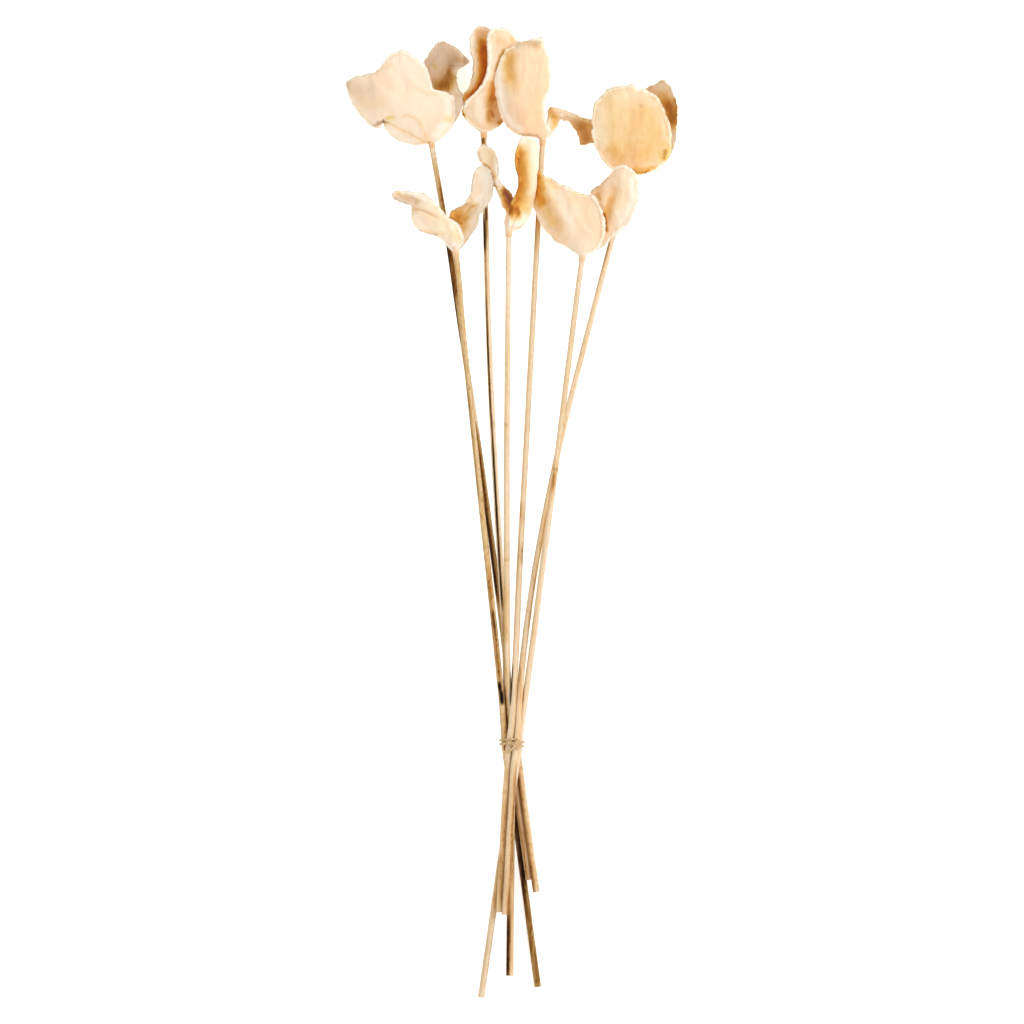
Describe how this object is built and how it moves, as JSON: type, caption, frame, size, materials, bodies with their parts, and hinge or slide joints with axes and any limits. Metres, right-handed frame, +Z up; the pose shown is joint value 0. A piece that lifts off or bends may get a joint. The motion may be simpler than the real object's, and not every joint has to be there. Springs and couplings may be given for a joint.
{
  "type": "bleached jacaranda pod stem",
  "caption": "Bunch of split, bleached woody seed pods on long natural sticks, tied with twine, for dried flower arrangements.",
  "frame": {"origin": "centre of the bounding box's base, on the surface that the bunch lies on", "axes": "+X across the bunch, +Y along the sticks towards the pods, +Z up from the surface"},
  "size_m": [0.2068, 0.6036, 0.0709],
  "materials": {
    "bleached_pod": "matt bleached wood, cream outside with brown in the hollows",
    "tan_stick": "matt straw-tan stick with brown mottling",
    "jute_twine": "rough fibrous jute"
  },
  "bodies": {
    "root": {"pod_1": "bleached_pod", "pod_2": "bleached_pod", "pod_3": "bleached_pod", "pod_4": "bleached_pod", "pod_5": "bleached_pod", "pod_6": "bleached_pod", "pod_7": "bleached_pod", "stick_1": "tan_stick", "stick_2": "tan_stick", "stick_3": "tan_stick", "stick_4": "tan_stick", "stick_5": "tan_stick", "stick_6": "tan_stick", "stick_7": "tan_stick", "twine_tie": "jute_twine"}
  },
  "joints": []
}
